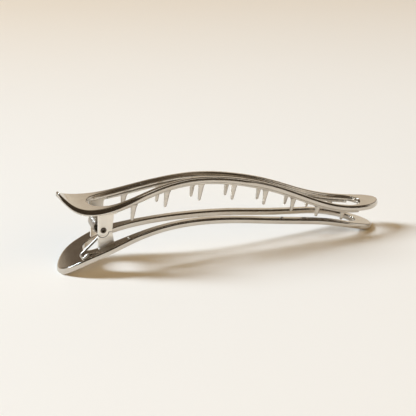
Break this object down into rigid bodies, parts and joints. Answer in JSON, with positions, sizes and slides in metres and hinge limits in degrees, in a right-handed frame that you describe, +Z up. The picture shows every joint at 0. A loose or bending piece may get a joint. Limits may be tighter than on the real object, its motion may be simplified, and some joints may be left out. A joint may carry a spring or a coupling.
{
  "type": "alligator hair clip",
  "caption": "Long metal alligator hair clip with hollow leaf-shaped jaws, toothed rails, hinge pin and coil spring; squeezing the grips opens it.",
  "frame": {"origin": "on the resting surface, under the middle of the closed clip's length and width", "axes": "+X from the finger grips to the nose, +Y across the clip, +Z up; the two jaws lie one above the other"},
  "size_m": [0.1206, 0.0164, 0.0289],
  "materials": {
    "plated_frame": "polished",
    "plated_comb": "polished",
    "pin_steel": "dark",
    "spring_steel": "bright"
  },
  "bodies": {
    "lower_jaw": {"lower_frame": "plated_frame", "lower_ear_front": "plated_frame", "lower_ear_back": "plated_frame", "torsion_spring": "spring_steel"},
    "upper_jaw": {"upper_frame": "plated_frame", "tooth_comb_front": "plated_comb", "tooth_comb_back": "plated_comb", "upper_ear_front": "plated_frame", "upper_ear_back": "plated_frame", "hinge_pin": "pin_steel"}
  },
  "joints": [
    {"name": "jaw_hinge", "type": "hinge", "parent": "lower_jaw", "child": "upper_jaw", "pos_m": [-0.04635, 0, 0.0156], "axis": [0, -1, 0], "range_deg": [0, 70], "stiffness_Nm_per_rad": 0.07, "springref_deg": -24.64, "deforming": ["torsion_spring"]}
  ]
}
